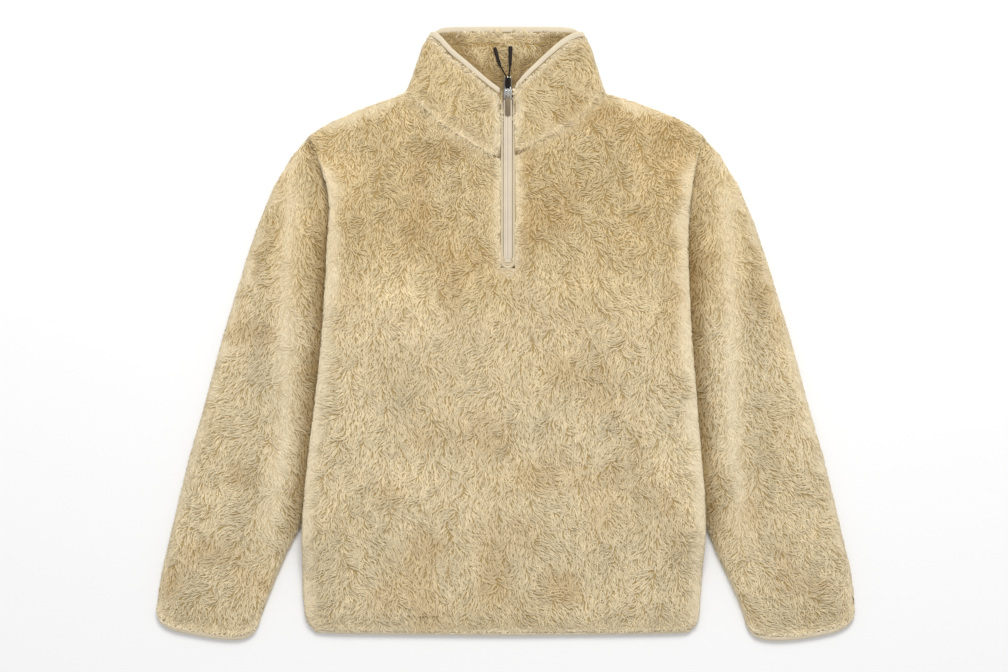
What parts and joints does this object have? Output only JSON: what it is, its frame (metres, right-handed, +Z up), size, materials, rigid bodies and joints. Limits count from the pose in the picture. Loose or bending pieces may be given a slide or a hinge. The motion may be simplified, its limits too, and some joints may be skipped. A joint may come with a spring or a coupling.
{
  "type": "fleece pullover",
  "caption": "Deep pile fleece pullover with a stand collar and a quarter zip, lying flat on its back with its sleeves down.",
  "frame": {"origin": "on the surface that the garment lies on, under the middle of its whole outline", "axes": "+X across the garment towards the viewer's right sleeve, +Y from the hem to the collar, +Z up from the surface"},
  "size_m": [0.8891, 0.7829, 0.0297],
  "materials": {
    "fleece": "deep curly pile",
    "binding_tape": "plain stretch tape",
    "zip_fabric": "woven tape with a moulded chain",
    "bright_metal": "bright",
    "dull_metal": "dull, taupe",
    "cord": "braided",
    "tip_plastic": "moulded"
  },
  "bodies": {
    "garment": {"front_panel": "fleece", "back_panel": "fleece", "sleeve_left": "fleece", "sleeve_right": "fleece", "collar": "fleece", "collar_binding": "binding_tape", "hem_binding": "binding_tape", "cuff_binding_left": "binding_tape", "cuff_binding_right": "binding_tape", "zip_tape_left": "zip_fabric", "zip_tape_right": "zip_fabric", "zip_stop": "zip_fabric", "zip_welt": "binding_tape", "slider": "bright_metal", "pull_loop": "bright_metal", "cord_knot": "cord", "cord_left": "cord", "cord_right": "cord", "cord_tip_left": "tip_plastic", "cord_tip_right": "tip_plastic"},
    "pull": {"pull_tab": "dull_metal"}
  },
  "joints": [
    {"name": "pull_tab_swing", "type": "hinge", "parent": "garment", "child": "pull", "pos_m": [0.003, 0.3021, 0.01355], "axis": [-1, 0, 0], "range_deg": [0, 130]}
  ]
}
